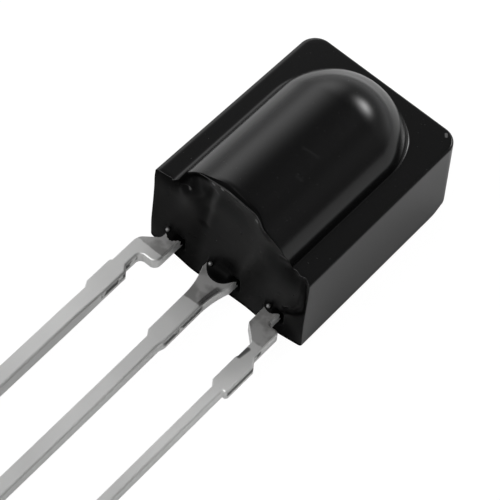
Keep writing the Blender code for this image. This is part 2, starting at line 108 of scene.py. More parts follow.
OUTPUT_TWIST = math.radians(-9)  # the left lead is turned this far below its stand-off
TWIST_START = STUB_FOOT - 0.20 * MM
TWIST_RUN = 1.50 * MM
TWIST_CUTS = np.arange(2.90, 4.60, 0.13) * MM  # the strip is cut across here, so that it can turn
OUTPUT_BOW = 0.035 * MM  # how far the left and the middle lead bow to the right
GROUND_BOW = 0.055 * MM
BOW_START = 1.50 * MM
BOW_RUN = 4.00 * MM
OUTPUT_BEAD = Vector((-2.25, -0.06, 0.36)) * MM
GROUND_BEAD = Vector((-0.44, -0.12, 0.38)) * MM
SUPPLY_BEAD = Vector((1.88, -0.08, 0.40)) * MM


def rounded(corners, steps=8):
    """A closed outline. Each corner (x, y, radius) becomes an arc that touches both of its sides."""
    points = []
    for index, (x, y, radius) in enumerate(corners):
        corner = np.array((x, y))
        if radius == 0:
            points.append(corner[None])
            continue
        to_last = np.array(corners[index - 1][:2]) - corner
        to_next = np.array(corners[(index + 1) % len(corners)][:2]) - corner
        to_last /= np.linalg.norm(to_last)
        to_next /= np.linalg.norm(to_next)
        half_angle = math.acos(float(to_last @ to_next)) / 2
        middle = (to_last + to_next) / np.linalg.norm(to_last + to_next)
        centre = corner + middle * radius / math.sin(half_angle)
        first = corner + to_last * radius / math.tan(half_angle) - centre
        last = corner + to_next * radius / math.tan(half_angle) - centre
        start = math.atan2(first[1], first[0])
        turn = math.remainder(math.atan2(last[1], last[0]) - start, math.tau)
        angle = np.linspace(start, start + turn, steps + 1)
        points.append(centre + radius * np.column_stack((np.cos(angle), np.sin(angle))))
    return np.concatenate(points)


def divided(points, spacing):
    """The same closed outline, with points no further apart than the spacing along its sides."""
    closed = np.vstack((points, points[:1]))
    reach = np.concatenate(((0.0,), np.cumsum(np.linalg.norm(np.diff(closed, axis=0), axis=1))))
    even = np.linspace(0, reach[-1], int(reach[-1] / spacing) + 1)
    nearest = np.abs(even[:, None] - reach[None]).min(axis=1)
    places = np.unique(np.concatenate((reach[:-1], even[nearest > spacing / 3])))
    return np.column_stack([np.interp(places, reach, closed[:, axis]) for axis in (0, 1)])


def mitres(points):
    """Which way each point of a closed counterclockwise outline moves as its sides move outwards:
    the two normals of its sides added and divided by one plus their product."""
    side = np.roll(points, -1, axis=0) - points
    normal = np.column_stack((side[:, 1], -side[:, 0])) / np.linalg.norm(side, axis=1)[:, None]
    before = np.roll(normal, 1, axis=0)
    return (normal + before) / (1 + (normal * before).sum(axis=1))[:, None]


def placed(name, data):
    """A new object in the scene, with this mesh, light or camera as its data."""
    made = bpy.data.objects.new(name, data)
    bpy.context.scene.collection.objects.link(made)
    return made


def keep(mesh, name, values):
    """Stores a value at each of a mesh's points, for its material to read."""
    mesh.attributes.new(name, "FLOAT", "POINT").data.foreach_set("value", values.ravel())


def stamped(name, outline, bead, twist=0.0, middle=0.0, bow=0.0):
    """Sheet metal cut to an outline. The edge profile is an upright side with a quarter circle at
    each end, rounder on the right: inset = r (1 - cos a) and height = h - r + r sin a. Below the
    stand-off the strip is turned about its middle, and it bows aside by 1 - e to the power of -run.
    A bead of tin sits on it where it meets the resin. For the material the mesh keeps each point's
    place on the flat strip, its depth in the sheet, from -1 to 1, and how far it faces right."""
    points = divided(outline, OUTLINE_STEP)
    outwards = mitres(points)
    half, facing = SHEET / 2, (1 + np.clip(outwards[:, 0], -1, 1)) / 2
    r = LEFT_STAMPED_EDGE + (STAMPED_EDGE - LEFT_STAMPED_EDGE) * facing
    a = np.linspace(0, math.pi / 2, EDGE_STEPS + 1)[:, None]
    inset = np.concatenate((r * (1 - np.cos(a)), r[None] * FLAT_START))
    up = np.concatenate((half - r + r * np.sin(a), 0 * r[None] + half))
    sides = np.linspace(-1, 1, EDGE_STEPS + 1)[1:-1, None] * (half - r)
    inset = np.concatenate((inset[::-1], 0 * sides, inset))
    up = np.concatenate((-up[::-1], sides, up))
    across = points[:, 0] - inset * outwards[:, 0]
    along = points[:, 1] - inset * outwards[:, 1]
    rings, count = across.shape
    corner = np.arange(rings * count).reshape(rings, count)
    low, high = corner[:-1], corner[1:]
    quads = np.stack((low, np.roll(low, -1, axis=1), np.roll(high, -1, axis=1), high), axis=-1)
    faces = quads.reshape(-1, 4).tolist() + [corner[-1].tolist(), corner[0, ::-1].tolist()]
    flat = np.stack((across, along, up), axis=-1).reshape(-1, 3)
    mesh = bpy.data.meshes.new(name)
    mesh.from_pydata(flat.tolist(), [], faces)
    drawn = mesh.uv_layers.new(name="strip")
    reads = np.empty(len(mesh.loops), dtype=np.int32)
    mesh.loops.foreach_get("vertex_index", reads)
    drawn.data.foreach_set("uv", (flat[reads, :2] / MM).ravel())
    keep(mesh, "depth", up / half)
    keep(mesh, "rightness", np.repeat(outwards[None, :, 0], rings, axis=0))
    shape = bmesh.new()
    shape.from_mesh(mesh)
    if twist:
        for cut in TWIST_CUTS:
            whole = [*shape.verts, *shape.edges, *shape.faces]
            bmesh.ops.bisect_plane(shape, geom=whole, plane_co=(0, -cut, 0), plane_no=(0, 1, 0))
    bmesh.ops.triangulate(shape, faces=[face for face in shape.faces if len(face.verts) > 4])
    seat = Matrix.Translation(bead)
    bmesh.ops.create_icosphere(shape, subdivisions=2, radius=BEAD_RADIUS, matrix=seat)
    shape.to_mesh(mesh)
    shape.free()
    place = np.empty(3 * len(mesh.vertices))
    mesh.vertices.foreach_get("co", place)
    across, along, up = place.reshape(-1, 3).T
    run = np.clip((-along - TWIST_START) / TWIST_RUN, 0, 1)
    turn = twist * run * run * (3 - 2 * run)
    aside = bow * (1 - np.exp(-np.clip(-along - BOW_START, 0, None) / BOW_RUN))
    x = across - middle
    turned = x * np.cos(turn) + up * np.sin(turn) + middle + aside
    raised = up * np.cos(turn) - x * np.sin(turn)
    mesh.vertices.foreach_set("co", np.column_stack((turned, along, raised)).ravel())
    place = Matrix.Translation((FRAME_OFFSET, LEAD_END, WALL_BEHIND_LEADS + SHEET / 2))
    swing, lean = Matrix.Rotation(FRAME_SWING, 4, "Z"), Matrix.Rotation(FRAME_LEAN, 4, "X")
    mesh.transform(place @ swing @ lean)
    mesh.shade_smooth()
    return placed(name, mesh)


def tip(low, high):
    """The cut end of a lead, from its left side to its right."""
    end = -LEAD_LENGTH
    return [
        (low, end + TIP_CHAMFER, 0),
        (low + TIP_CHAMFER, end, 0),
        (high - TIP_CHAMFER, end, 0),
        (high, end + TIP_CHAMFER, 0),
    ]


def finger(exit_low, exit_high, head_low, head_high):
    """The part of an outer lead inside the resin, from its exit on the right round to the left."""
    return [
        (exit_high, FINGER_NECK, SMALL_CORNER),
        (head_high, FINGER_NECK + abs(head_high - exit_high), SMALL_CORNER),
        (head_high, FINGER_TOP, JOG_CORNER),
        (head_low, FINGER_TOP, JOG_CORNER),
        (head_low, FINGER_NECK + abs(exit_low - head_low), SMALL_CORNER),
        (exit_low, FINGER_NECK, SMALL_CORNER),
    ]


def flare(narrow, wide):
    """One side of the middle lead's widening: its half width grows as the square of the run."""
    share = np.linspace(0, 1, FLARE_STEPS + 1)
    drop = FLARE_TOP + FLARE_RUN * (1 - share)
    return [(x, -y, 0) for x, y in zip(narrow + (wide - narrow) * share ** 2, drop)]


low = -LEAD_PITCH - LEAD_WIDTH / 2
high = low + OUTPUT_WIDTH
stub, neck = low - OUTER_LEDGE, low - OUTER_LEDGE + NECK_STEP
exit_low, exit_high = -EXIT_PITCH - EXIT_WIDTH / 2, -EXIT_PITCH + EXIT_WIDTH / 2
output_middle = (low + high) / 2
output_outline = [
    *tip(low, high),
    (high, -STUB_TOP, 0),
    (neck + LEAD_WIDTH, -STUB_TOP + STUB_SLOPE, 0),
    (neck + LEAD_WIDTH, -OUTPUT_JOG, OUTPUT_CORNER),
    (exit_high, -OUTPUT_JOG, OUTPUT_STEP_CORNER),
    *finger(exit_low, exit_high, exit_low - FINGER_LEDGE, -CHIP_LAND_HALF - LAND_GAP),
    (exit_low, -OUTPUT_SLOPE_TOP, OUTPUT_CORNER),
    (neck, -OUTPUT_SLOPE_FOOT, OUTPUT_SLOPE_CORNER),
    (neck, -STUB_TOP + NECK_STEP, 0),
    (stub, -STUB_TOP, 0),
    (stub, -STUB_FOOT, 0),
    (low, -STUB_FOOT - STUB_SLOPE, 0),
]

low, high = -GROUND_WIDTH / 2, GROUND_WIDTH / 2
exit_low = GROUND_EXIT_OFFSET - GROUND_EXIT_WIDTH / 2
exit_high = exit_low + GROUND_EXIT_WIDTH
ground_outline = [
    *tip(low, high),
    (high, -STUB_FOOT - STUB_SLOPE, 0),
    (high + GROUND_INNER_LEDGE, -STUB_FOOT, 0),
    *flare(high + GROUND_INNER_LEDGE, exit_high),
    (exit_high, GROUND_EXIT_TOP, SMALL_CORNER),
    (CHIP_LAND_HALF, CHIP_LAND_START, SMALL_CORNER),
    (CHIP_LAND_HALF, DIODE_LAND_START, SMALL_CORNER),
    (DIODE_LAND_HALF, DIODE_LAND_FULL, SMALL_CORNER),
    (DIODE_LAND_HALF, DIODE_LAND_TOP, JOG_CORNER),
    (-DIODE_LAND_HALF, DIODE_LAND_TOP, JOG_CORNER),
    (-DIODE_LAND_HALF, DIODE_LAND_FULL, SMALL_CORNER),
    (-CHIP_LAND_HALF, DIODE_LAND_START, SMALL_CORNER),
    (-CHIP_LAND_HALF, CHIP_LAND_START, SMALL_CORNER),
    (exit_low, GROUND_EXIT_TOP, SMALL_CORNER),
    *flare(low - GROUND_LEDGE, exit_low)[::-1],
    (low - GROUND_LEDGE, -STUB_FOOT, 0),
    (low, -STUB_FOOT - STUB_SLOPE, 0),
]

low, high = LEAD_PITCH - SUPPLY_WIDTH / 2, LEAD_PITCH + SUPPLY_WIDTH / 2
stub_low, stub_high = low - SUPPLY_LEDGE, high + SUPPLY_LEDGE
neck_high = stub_high - SUPPLY_NECK_STEP
neck_low = neck_high - SUPPLY_NECK_WIDTH
exit_low, exit_high = EXIT_PITCH - EXIT_WIDTH / 2, EXIT_PITCH + EXIT_WIDTH / 2
supply_outline = [
    *tip(low, high),
    (high, -STUB_FOOT - STUB_SLOPE / 2, 0),
    (stub_high, -STUB_FOOT - STUB_SLOPE / 2, SMALL_CORNER),
    (stub_high, -STUB_TOP + STUB_SLOPE / 2, SMALL_CORNER),
    (neck_high, -STUB_TOP + SUPPLY_NECK_STEP + STUB_SLOPE, SMALL_CORNER),
    (neck_high, -SUPPLY_JOG, SMALL_CORNER),
    (exit_high, -SUPPLY_JOG, SMALL_CORNER),
    *finger(exit_low, exit_high, CHIP_LAND_HALF + LAND_GAP, exit_high + FINGER_LEDGE),
    (exit_low, -SUPPLY_SLOPE_TOP, SMALL_CORNER),
    (neck_low, -SUPPLY_SLOPE_FOOT, JOG_CORNER),
    (neck_low, -STUB_TOP + STUB_SLOPE / 2, 0),
    (stub_low, -STUB_TOP, 0),
    (stub_low, -STUB_FOOT, 0),
    (low, -STUB_FOOT - STUB_SLOPE, 0),
]
lead_output = stamped(
    "tinned_lead_output", rounded(output_outline), OUTPUT_BEAD, OUTPUT_TWIST, output_middle, OUTPUT_BOW
)
lead_ground = stamped("tinned_lead_ground", rounded(ground_outline), GROUND_BEAD, bow=GROUND_BOW)
lead_supply = stamped("tinned_lead_supply", rounded(supply_outline), SUPPLY_BEAD)


class Finish:
    """A socket in a surface's node tree. Arithmetic on it adds Math nodes to that tree."""

    def __init__(self, tree, socket=None):
        self.tree = tree
        self.socket = socket

    def node(self, kind, settings, sockets, output=0):
        """Adds any node: its settings first, then values or links for its sockets."""
        made = self.tree.nodes.new(kind)
        for name, value in settings.items():
            setattr(made, name, value)
        for name, value in sockets.items():
            if isinstance(value, Finish):
                self.tree.links.new(value.socket, made.inputs[name])
            else:
                made.inputs[name].default_value = value
        return Finish(self.tree, made.outputs[output])

    def maths(self, operation, *values):
        """One Math node on one to three values or sockets."""
        return self.node("ShaderNodeMath", {"operation": operation}, dict(enumerate(values)))

    def __add__(self, other):
        return self.maths("ADD", self, other)

    def __radd__(self, other):
        return self.maths("ADD", other, self)

    def __sub__(self, other):
        return self.maths("SUBTRACT", self, other)

    def __rsub__(self, other):
        return self.maths("SUBTRACT", other, self)

    def __mul__(self, other):
        return self.maths("MULTIPLY", self, other)

    def __rmul__(self, other):
        return self.maths("MULTIPLY", other, self)

    def __truediv__(self, other):
        return self.maths("DIVIDE", self, other)

    def __gt__(self, other):
        return self.maths("GREATER_THAN", self, other)

    def __lt__(self, other):
        return self.maths("LESS_THAN", self, other)

    def __abs__(self):
        return self.maths("ABSOLUTE", self)

    def ramp(self, start, end, low=0.0, high=1.0):
        """A smooth step from low to high as this value goes from start to end."""
        settings = {"interpolation_type": "SMOOTHSTEP"}
        return self.node("ShaderNodeMapRange", settings, {0: self, 1: start, 2: end, 3: low, 4: high})

    def place(self):
        """The place on the object, in metres."""
        return self.node("ShaderNodeTexCoord", {}, {}, 3)

    def attribute(self, name):
        """A value that the mesh keeps at each of its points."""
        return self.node("ShaderNodeAttribute", {"attribute_name": name}, {}, 2)

    def noise(self, place, scale, detail, roughness=0.5):
        """Cloudy noise from 0 to 1, with a grain of about 1 / scale metres."""
        sockets = {"Vector": place, "Scale": scale, "Detail": detail, "Roughness": roughness}
        return self.node("ShaderNodeTexNoise", {}, sockets)

    def bump(self, height, strength, depth):
        """A normal for a surface that rises by the height times the depth."""
        sockets = {"Strength": strength, "Distance": depth, "Height": height}
        return self.node("ShaderNodeBump", {}, sockets)

    def colour(self, share, first, second):
        """A blend of two colours, written as (red, green, blue)."""
        sides = [side if isinstance(side, Finish) else (*side, 1) for side in (first, second)]
        mixed = {0: share, 6: sides[0], 7: sides[1]}
        return self.node("ShaderNodeMix", {"data_type": "RGBA"}, mixed, 2)

    def axis(self, vector, index):
        """One part of a vector: 0, 1 or 2 for x, y or z."""
        return self.node("ShaderNodeSeparateXYZ", {}, {0: vector}, index)


def new_finish(name):
    """A material with an empty Principled shader, as (material, its node tree as a Finish)."""
    made = bpy.data.materials.new(name)
    made.use_nodes = True
    return made, Finish(made.node_tree)


def fill(material, values):
    """Sets or links sockets of a material's Principled shader."""
    shader = material.node_tree.nodes["Principled BSDF"]
    for name, value in values.items():
        if isinstance(value, Finish):
            material.node_tree.links.new(value.socket, shader.inputs[name])
        else:
            shader.inputs[name].default_value = value


def scratch(x, y, first, last, width):
    """How near a place is to a straight scratch between two others, 0 to 1, all in mm."""
    run_x, run_y = last[0] - first[0], last[1] - first[1]
    share = ((x - first[0]) * run_x + (y - first[1]) * run_y) / (run_x ** 2 + run_y ** 2)
    share = share.maths("MINIMUM", share.maths("MAXIMUM", share, 0.0), 1.0)
    away_x, away_y = x - first[0] - share * run_x, y - first[1] - share * run_y
    return (away_x * away_x + away_y * away_y).ramp(0.0, width * width, 1.0, 0.0)


# Tin over steel: satin and mottled, and darker towards the tips and on the left lead where it turns.
# Near the resin its top is painted steel grey, as uncoated steel where the bath ended and as painted
# reflection of the dark package. It is burnished on the flare's right and torn where the tie bars were
# cut off, and painted shade darkens a streak on the right lead's neck. Places on the flat strip are in
# mm, across it from the middle lead and along it from the resin.
BETWEEN_LEADS = 1.0
LEFT_BATH_END, MIDDLE_BATH_END, RIGHT_BATH_END = -0.85, -1.43, -1.28
SHEARED_MIDDLE = -2.25
SHEARED_DEPTH = 0.30
NECK_SHADE = ((2.31, -1.97), (2.36, -1.60))
NECK_SHADE_WIDTH = 0.10
PALE_TIN, GREY_TIN = (0.97, 0.97, 0.96), (0.90, 0.90, 0.895)
PALE_STEEL, GREY_STEEL = (0.62, 0.615, 0.61), (0.42, 0.415, 0.41)
DARK_TIN, TORN_AND_SHADED_STEEL = (0.30, 0.30, 0.30), (0.12, 0.12, 0.12)
tinned, made = new_finish("satin_tin")
place = made.place()
strip = made.node("ShaderNodeUVMap", {"uv_map": "strip"}, {})
depth, rightness = made.attribute("depth"), made.attribute("rightness")
across, along = made.axis(strip, 0), made.axis(strip, 1)
on_left, on_right = across < -BETWEEN_LEADS, across > BETWEEN_LEADS
cloud = made.noise(place, 900.0, 4.0, 0.6)
grain = made.noise(place, 9000.0, 3.0, 0.6)
wave = made.noise(place, 2600.0, 2.0)
bath_end = MIDDLE_BATH_END + on_right * (RIGHT_BATH_END - MIDDLE_BATH_END)
bath_end = bath_end + on_left * (LEFT_BATH_END - MIDDLE_BATH_END) + (wave - 0.5) * 0.12
# painted reflection of the dark package, and the tin's end: steel grey on the top face near the resin
bare_and_reflected = (along - bath_end).ramp(-0.03, 0.03) * depth.ramp(0.93, 0.995)
sheared = abs(along - SHEARED_MIDDLE).ramp(0.85, 0.95, 1.0, 0.0)
sheared = sheared * abs(depth - SHEARED_DEPTH).ramp(0.25, 0.6, 1.0, 0.0)
sheared = sheared * (wave - 0.5).ramp(-0.17, -0.05) * abs(rightness).ramp(0.6, 0.9)
# painted shade: a dark streak on the right lead's neck
neck_shade = scratch(across, along, *NECK_SHADE, NECK_SHADE_WIDTH) * depth.ramp(0.7, 0.9)
# darker towards the tips, and on the left lead where it turns
darkening = along.ramp(-3.0, -10.0) * 0.26 + on_left * along.ramp(-3.0, -4.2) * 0.18
burnished = rightness.ramp(0.6, 0.8) * along.ramp(-1.5, -1.3) * (abs(across) < BETWEEN_LEADS)
burnished = burnished * along.ramp(-0.45, -0.65)
bead = abs(across) + abs(along) < 0.001  # the beads have no place on the strip
tin = made.colour(cloud, GREY_TIN, PALE_TIN)
tin = made.colour(darkening, tin, DARK_TIN)
steel = made.colour((wave + cloud).ramp(0.85, 1.15), GREY_STEEL, PALE_STEEL)
tin = made.colour(bare_and_reflected, tin, steel)
tin = made.colour(neck_shade * 0.9, tin, TORN_AND_SHADED_STEEL)
tin = made.colour(sheared * 0.85, tin, TORN_AND_SHADED_STEEL)
tin = made.colour(bead, tin, DARK_TIN)
fill(tinned, {
    "Base Color": tin,
    "Metallic": 1.0,
    "Roughness": 0.53 + cloud * 0.09 + bare_and_reflected * 0.04 + sheared * 0.2 - burnished * 0.35,
    "Normal": made.bump(grain + wave * 1.5, 0.35, 0.004 * MM),
})
for piece, node in (
    (lead_output, "lead_output"), (lead_ground, "lead_ground"), (lead_supply, "lead_supply"),
):
    piece.data.materials.append(tinned)
    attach(piece, "root")
    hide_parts(node)

# The chips. Both are sawn from a polished silicon wafer and glued to the middle lead's land before
# the resin is cast. The photodiode is one dark field in a pale frame, the receiver chip is circuits.
FIELD_HALF = 0.70  # half the side of the dark field, in mm
photodiode, made = new_finish("photodiode_silicon")
place = made.place()
side, end = (abs(made.axis(place, index) / MM) for index in range(2))
frame_line = side.maths("MAXIMUM", side, end).ramp(FIELD_HALF, FIELD_HALF + 0.02)
haze = made.noise(place, 4000.0, 3.0)
silicon = made.colour(frame_line, (0.035, 0.03, 0.075), (0.42, 0.42, 0.45))
silicon = made.colour(haze * 0.25, silicon, (0.10, 0.09, 0.16))
fill(photodiode, {
    "Base Color": silicon,
    "Roughness": 0.12 + haze * 0.12,
    "Metallic": frame_line * 0.8,
})
circuits, made = new_finish("receiver_silicon")
place = made.place()
blocks = made.node(
    "ShaderNodeTexBrick",
    {"offset": 0.37, "squash": 1.6},
    {
        "Vector": place, "Color1": (0.10, 0.11, 0.16, 1), "Color2": (0.24, 0.21, 0.27, 1),
        "Mortar": (0.55, 0.52, 0.46, 1), "Scale": 5200.0, "Mortar Size": 0.035,
    },
)
haze = made.noise(place, 6000.0, 3.0)
fill(circuits, {
    "Base Color": made.colour(haze * 0.3, blocks, (0.05, 0.05, 0.07)),
    "Roughness": 0.16 + haze * 0.15,
    "Metallic": 0.25,
})


def coat(node, surface):
    """Gives a piece that stays as the CAD has it a finish of its own."""
    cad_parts[node].data.materials.clear()
    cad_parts[node].data.materials.append(surface)


coat("photodiode_chip", photodiode)
coat("receiver_chip", circuits)

# The bond wires. Gold wire is welded from pad to pad in a loop by heat and ultrasound, and the resin
# holds it. The CAD's wires stay, in drawn gold with a faint haze.
gold, made = new_finish("drawn_gold")
place = made.place()
haze = made.noise(place, 30000.0, 3.0)
fill(gold, {
    "Base Color": made.colour(haze, (0.86, 0.60, 0.20), (0.72, 0.46, 0.13)),
    "Metallic": 1.0,
    "Roughness": 0.2 + haze * 0.15,
})
for node in ("bond_wire_output", "bond_wire_supply", "bond_wire_diode", "bond_wire_ground"):
    coat(node, gold)

# The package. Dark resin that lets infrared light through is poured into a cup that forms the lens
# and the box, with its open end at the leads. There it sets uneven, climbs each lead and sags beside
# the lens.
BODY_WIDTH = 6.18 * MM
BODY_LENGTH = 7.475 * MM
BODY_DEPTH = 3.61 * MM
SIDE_DRAFT = math.radians(0.45)
TOP_SLANT = -0.0115  # the top edge drops a little towards the right
FRONT_CORNER_RADIUS = 0.60 * MM  # of the two top corners, at the flat front
BACK_CORNER_RADIUS = 0.24 * MM  # and at the back
BACK_TOP_RADIUS = 0.16 * MM
BACK_EDGE_RADIUS = 0.13 * MM
FRONT_EDGE_RADIUS = 0.09 * MM
LEFT_EDGE_REACH = 0.17 * MM  # how far the rounding reaches across the front on the left
LENS_RADIUS = 2.35 * MM
LENS_SINK = 0.52 * MM
LENS_FILLET = 0.05 * MM  # along the right and over the top
WIDE_FILLET = 0.20 * MM  # along the left and low on the right of the dome
CORNER_CUT = np.array((0.60, 0.76, 0.40)) * MM  # the back's blunt top corners, across, up and out
CUT_SOFTNESS = 0.03 * MM
BODY_TOP = LEAD_END + BODY_LENGTH
END_MIDDLE = np.array((0.0, 1.8 * MM))  # the end face fans out from here
LIP_RADIUS = 0.03 * MM  # of the rim between the skin and the poured end
CREST_LIP = 0.30 * MM  # how much wider it is over the crest of the lens
CREST_LIP_START = math.radians(32)  # and the angle that it starts with there
CREST_TURNS = (-38, 58)  # where the lip has its own finish, in degrees from the crest
LOW_LIP = 0.02 * MM  # how much wider it is low down
LOW_LIP_START = 3.4 * MM
LOW_LIP_FADE = 0.5 * MM
# How finely the package is divided, in rows of faces from the lens to the back, and in columns.
LENS_ROWS, FILLET_ROWS, FRONT_ROWS, EDGE_ROWS = 70, 9, 11, 9
SIDE_ROWS, BACK_ROWS, LIP_ROWS, END_ROWS = 65, 61, 7, 109
SPINE_COLUMNS, SIDE_COLUMNS, CORNER_COLUMNS, TOP_COLUMNS = 33, 23, 15, 25
MERGE_DISTANCE = 0.0004 * MM
# The lip's rings that have the skin's finish, in general and over the lens.
SKIN_RINGS, CREST_RINGS = slice(0, 3), slice(4, 6)
# Over the lens the rest of the outer rings' gloss is painted shade, a dark line along the crest.
CREST_SHADED_GLOSS = 0.4  # how much its outer rings shine over the lens
# Heights of the poured face in mm, along the lens's rim by degrees from its crest, and at places
# (x, z) on the rest of the rim and on the face.
LENS_RIM_HEIGHTS = (
    (-75, -0.20), (-68, -0.33), (-62, -0.34), (-57, -0.17), (-47, -0.11), (-36, -0.06), (-27, 0.01),
    (-18, 0.05), (-9, 0.05), (0, 0.08), (12, 0.10), (23, 0.07), (28, 0.12), (34, 0.20), (43.6, 0.16),
    (55.6, 0.07), (64, 0.0), (73, -0.10),
)
FACE_HEIGHTS = (
    (2.42, 3.61, -0.17), (2.62, 3.61, -0.10), (2.87, 3.61, -0.09), (3.09, 3.61, -0.01),
    (-3.10, 3.61, -0.04), (-2.75, 3.61, -0.07), (-2.42, 3.61, -0.13),
    (-3.10, 2.7, 0.0), (-3.10, 1.8, 0.01), (-3.10, 0.9, 0.03), (-3.10, 0.0, -0.01),
    (3.09, 2.9, -0.02), (3.09, 2.2, -0.02), (3.09, 1.4, -0.02), (3.09, 0.7, -0.05), (3.09, 0.0, -0.10),
    (-2.5, 0.0, 0.0), (-1.8, 0.0, 0.05), (-1.3, 0.0, 0.09), (-0.9, 0.0, 0.08), (-0.4, 0.0, 0.03),
    (0.3, 0.0, 0.0), (0.9, 0.0, -0.02), (1.5, 0.0, 0.01), (2.1, 0.0, 0.03), (2.6, 0.0, -0.03),
    (-1.95, 4.12, -0.27), (-1.62, 4.42, -0.20), (-1.35, 4.72, -0.13),
    (-2.10, 3.78, -0.09), (-1.70, 4.00, -0.05), (-1.2, 4.35, -0.03),
    (1.10, 4.75, 0.06), (1.45, 4.45, 0.05), (1.85, 4.0, 0.0), (2.2, 3.45, -0.05), (2.5, 3.2, -0.03),
    (-0.6, 4.9, -0.01), (0.2, 5.0, 0.0), (0.0, 4.2, -0.03), (0.9, 3.9, -0.02), (-1.0, 3.6, -0.04),
    (-2.3, 3.0, -0.02), (-1.2, 2.6, -0.05), (0.0, 3.0, -0.06), (1.2, 3.0, -0.04), (2.3, 2.4, 0.01),
    (-2.3, 1.9, -0.01), (-1.0, 1.5, -0.03), (1.1, 1.9, -0.05), (2.5, 1.2, -0.05), (1.0, 0.9, -0.03),
    (-1.1, 0.6, 0.01), (2.5, 0.6, -0.07), (-2.6, 1.0, 0.0),
)
# Lines on the poured face, by places (x, z) in mm: what the resin drew up or left low as it set.
LEFT_RIDGE = ((-2.42, 3.62), (-2.05, 3.86), (-1.65, 4.07))
LEFT_GROOVE = ((-2.30, 3.58), (-1.72, 3.93))
LEFT_CREASE = ((-0.80, 4.68), (-0.93, 3.9), (-1.05, 2.73))
RIGHT_GROOVE = (
    (1.95, 4.0), (2.45, 3.98), (2.80, 3.62), (2.93, 2.9), (2.90, 2.2), (2.70, 1.75), (2.35, 1.5),
)
# Along the next two lines the face is painted dark as shade; they are not shaped into it.
LENS_SHADE_LINE = ((-2.20, 3.68), (-1.87, 4.28), (-1.56, 4.67), (-1.12, 5.02))
EDGE_SHADE_LINE = ((2.92, 3.35), (2.97, 2.95), (3.02, 2.05), (2.64, 1.52), (2.2, 1.22))
GAP_PATH = ((-0.12, 1.12), (0.03, 1.04), (0.05, 0.62))  # from the right side of a lead, and up
# The resin's climb over each lead in mm: its middle, half its width and how far it runs out.
LEAD_CLIMBS = ((-2.08, 0.33, 0.30), (-0.13, 0.60, 0.50), (1.90, 0.36, 0.21))


def half_width(y):
    """Half the package's width: it narrows evenly from the lead end, by the draft of the cup."""
    return BODY_WIDTH / 2 - math.tan(SIDE_DRAFT) * (y - LEAD_END)


def smooth_sheet(knots, heights, x, z):
    """The thin sheet that bends least while it passes each knot at its height: a plane plus, for
    each knot, a weight times its distance squared times the logarithm of that distance."""
    def pull(px, pz):
        """What each knot adds per unit of weight, kept finite at the knot itself."""
        square = (px[..., None] - knots[:, 0]) ** 2 + (pz[..., None] - knots[:, 1]) ** 2
        return square * np.log(square + 1e-9)

    plane = np.column_stack((np.ones(len(knots)), knots))
    system = np.block([[pull(knots[:, 0], knots[:, 1]), plane], [plane.T, np.zeros((3, 3))]])
    weights = np.linalg.solve(system, np.concatenate((heights, np.zeros(3))))
    return pull(x, z) @ weights[:-3] + weights[-3] + weights[-2] * x + weights[-1] * z


def bell(distance, spread):
    """A smooth bump: e to the power of minus half the square of distance over spread."""
    return np.exp(-0.5 * (distance / spread) ** 2)


def from_line(x, z, *places):
    """How far a place on the end face lies from a line through others, in mm, and how far along
    that line the nearest point is, from 0 to 1."""
    nearest, reached = np.full(np.shape(x), np.inf), np.zeros(np.shape(x))
    for index, ((ax, az), (bx, bz)) in enumerate(zip(places, places[1:])):
        dx, dz = bx - ax, bz - az
        share = np.clip(((x - ax) * dx + (z - az) * dz) / (dx * dx + dz * dz), 0, 1)
        away = np.hypot(x - ax - share * dx, z - az - share * dz)
        reached = np.where(away < nearest, (index + share) / (len(places) - 1), reached)
        nearest = np.minimum(nearest, away)
    return nearest, reached


def lead_gap(x, z):
    """How near a place is to the narrow gap that stays open on the right of each lead, 0 to 1."""
    nearest = np.inf
    for middle, width in (
        (-EXIT_PITCH, EXIT_WIDTH), (GROUND_EXIT_OFFSET, GROUND_EXIT_WIDTH), (EXIT_PITCH, EXIT_WIDTH),
    ):
        side = (FRAME_OFFSET + middle + width / 2) / MM
        away = from_line(x, z, *((side + aside, up) for aside, up in GAP_PATH))[0]
        nearest = np.minimum(nearest, away)
    return bell(nearest, 0.05)


def gloss_left_by_painted_shade(x, z):
    """How much of the open-set resin's gloss is kept, the rest being painted shade, a dead-black
    diffuse: less on the left of its crease and in front of the leads, hardly any along a line by the
    lens, one by the right edge and along the back, and none in the gaps beside the leads."""
    x, z = x / MM, z / MM
    left = np.clip((-0.93 + 0.06 * (z - 3.9) - x) / 0.3 + 0.5, 0, 1)
    shade_over_lead = np.zeros(np.shape(x))
    for middle, half, climb in LEAD_CLIMBS:
        shade_over_lead += bell(x - middle, 0.6 * half) * bell(np.clip(z - 1.1, 0, None), 0.13)
    by_lens, by_edge = from_line(x, z, *LENS_SHADE_LINE)[0], from_line(x, z, *EDGE_SHADE_LINE)[0]
    # painted shade along two lines and the back edge
    painted_dark = np.maximum(bell(by_lens, 0.10), bell(by_edge, 0.06))
    painted_dark = np.maximum(painted_dark, bell(z - 0.06, 0.06))
    shine = (1 - 0.42 * left) * (1 - 0.75 * shade_over_lead) * (1 - 0.93 * painted_dark)
    return shine * (1 - np.clip(1.6 * lead_gap(x, z) - 0.3, 0, 1))


